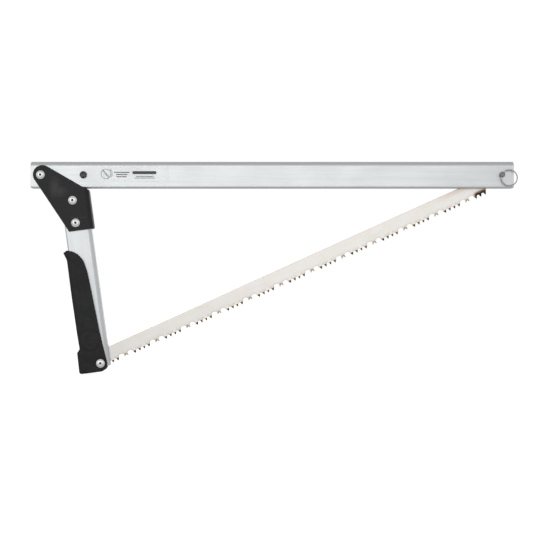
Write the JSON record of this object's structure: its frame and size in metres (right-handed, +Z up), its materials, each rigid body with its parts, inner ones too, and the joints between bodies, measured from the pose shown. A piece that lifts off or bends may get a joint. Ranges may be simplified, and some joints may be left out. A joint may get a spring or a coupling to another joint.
{
  "type": "folding bow saw",
  "caption": "Folding camp bow saw: an aluminium channel back, a channel arm with a moulded grip on a riveted bracket, and a raker-tooth blade that stows in the back.",
  "frame": {"origin": "centre of the whole saw's box in X and Y, at its lowest point, the foot of the handle", "axes": "+X along the back from the pivot to the ring, +Y away from the labelled face, +Z up; the blade lies in the XZ plane"},
  "size_m": [0.584, 0.0332, 0.2551],
  "materials": {
    "anodised_aluminium": "satin anodised, drawn along its length",
    "black_coating": "matte black powder coat, polished on the bends",
    "black_moulding": "fine-grained moulded plastic",
    "bright_rivet": "bright domed heads",
    "dark_steel": "plain steel",
    "blade_steel": "pale ground strip, blued tooth points",
    "nickel_plate": "nickel plate",
    "black_oxide": "black oxide, slightly glossy",
    "natural_nylon": "natural nylon",
    "label_film": "thin clear film"
  },
  "bodies": {
    "spine": {"spine_channel": "anodised_aluminium", "spine_label": "label_film", "screw_insert": "nickel_plate", "pivot_sleeve": "dark_steel", "pin_spacers": "natural_nylon"},
    "arm": {"arm_channel": "anodised_aluminium", "arm_bracket": "black_coating", "bracket_rivets": "bright_rivet", "bracket_mandrels": "dark_steel", "pivot_rivet": "bright_rivet", "pivot_mandrel": "dark_steel", "rivet_washers": "bright_rivet", "handle_grip": "black_moulding", "handle_rivet": "bright_rivet", "handle_mandrel": "dark_steel", "rivet_spacers": "natural_nylon"},
    "blade": {"blade": "blade_steel"},
    "pin": {"blade_pin": "nickel_plate"},
    "ring": {"split_ring": "nickel_plate"},
    "screw": {"blade_screw": "black_oxide"}
  },
  "joints": [
    {"name": "arm_fold", "type": "hinge", "parent": "spine", "child": "arm", "pos_m": [-0.27976, -0.00135, 0.23914], "axis": [0, 1, 0], "range_deg": [0, 275.5]},
    {"name": "blade_swing", "type": "hinge", "parent": "spine", "child": "blade", "pos_m": [0.27344, -0.00135, 0.23914], "axis": [0, 1, 0], "range_deg": [0, 24.3]},
    {"name": "pin_turn", "type": "hinge", "parent": "spine", "child": "pin", "pos_m": [0.27344, -0.00135, 0.23914], "axis": [0, -1, 0], "continuous": true},
    {"name": "ring_flop", "type": "hinge", "parent": "pin", "child": "ring", "pos_m": [0.27344, -0.01395, 0.23914], "axis": [-0.4194, 0, -0.9078], "range_deg": [0, 170]},
    {"name": "screw_turn", "type": "hinge", "parent": "spine", "child": "screw", "pos_m": [-0.22856, -0.00935, 0.23914], "axis": [0, -1, 0], "range_deg": [0, 810]}
  ],
  "couplings": [
    {"joint": "blade_swing", "follows": "arm_fold", "ratio": 0.0882}
  ]
}
